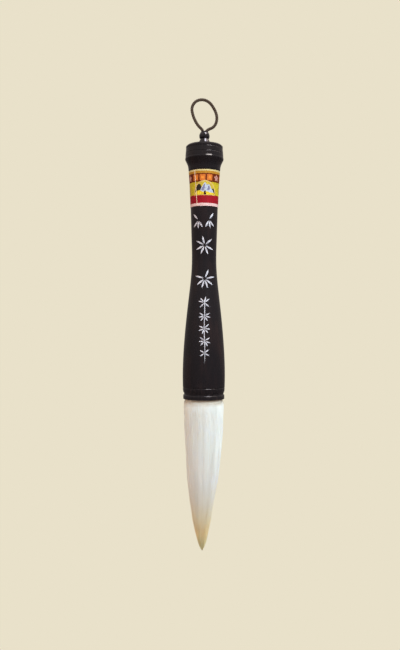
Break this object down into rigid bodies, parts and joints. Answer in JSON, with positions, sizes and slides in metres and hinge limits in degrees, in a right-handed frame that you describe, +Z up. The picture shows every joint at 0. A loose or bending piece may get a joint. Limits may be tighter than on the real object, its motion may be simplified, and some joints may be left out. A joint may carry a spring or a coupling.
{
  "type": "calligraphy brush",
  "caption": "Large hanging calligraphy brush: waisted black lacquered handle, paper label, drum cap with cord loop, horn mouth ring and full white goat-hair tuft that bends.",
  "frame": {"origin": "the mouth of the hanging finial, on the brush's axis, where the cord loop comes out and the brush is hung from", "axes": "+Z up along the handle, from the hair tip to the loop; -Y is the front, which carries the carved sprig; +X is to the right seen from the front"},
  "size_m": [0.0258, 0.0258, 0.2754],
  "materials": {
    "lacquered_wood": "gloss",
    "black_horn": "gloss",
    "white_pigment": "matte",
    "label_paper": "satin",
    "brown_cord": "matte",
    "silk_thread": "satin",
    "amber_resin": "gloss",
    "goat_hair": "satin"
  },
  "bodies": {
    "handle": {"handle_shaft": "lacquered_wood", "carved_sprig_fill": "white_pigment", "paper_label": "label_paper", "ferrule_ring": "black_horn", "top_cap": "lacquered_wood", "hanging_finial": "black_horn", "cord_tails": "brown_cord", "loop_knot": "brown_cord", "resin_plug": "amber_resin", "mantle_binding": "silk_thread", "core_binding": "silk_thread", "mantle_root": "goat_hair", "core_root": "goat_hair"},
    "tuft": {"mantle_hair": "goat_hair", "core_hair": "goat_hair"},
    "loop": {"hanging_loop": "brown_cord"}
  },
  "joints": [
    {"name": "tuft_bend", "type": "hinge", "parent": "handle", "child": "tuft", "pos_m": [0, 0, -0.187], "axis": [0, 1, 0], "range_deg": [-35, 35], "stiffness_Nm_per_rad": 0.03},
    {"name": "loop_swing", "type": "hinge", "parent": "handle", "child": "loop", "pos_m": [0, 0, 0.001], "axis": [1, 0, 0], "range_deg": [-90, 90], "stiffness_Nm_per_rad": 0.0002}
  ]
}
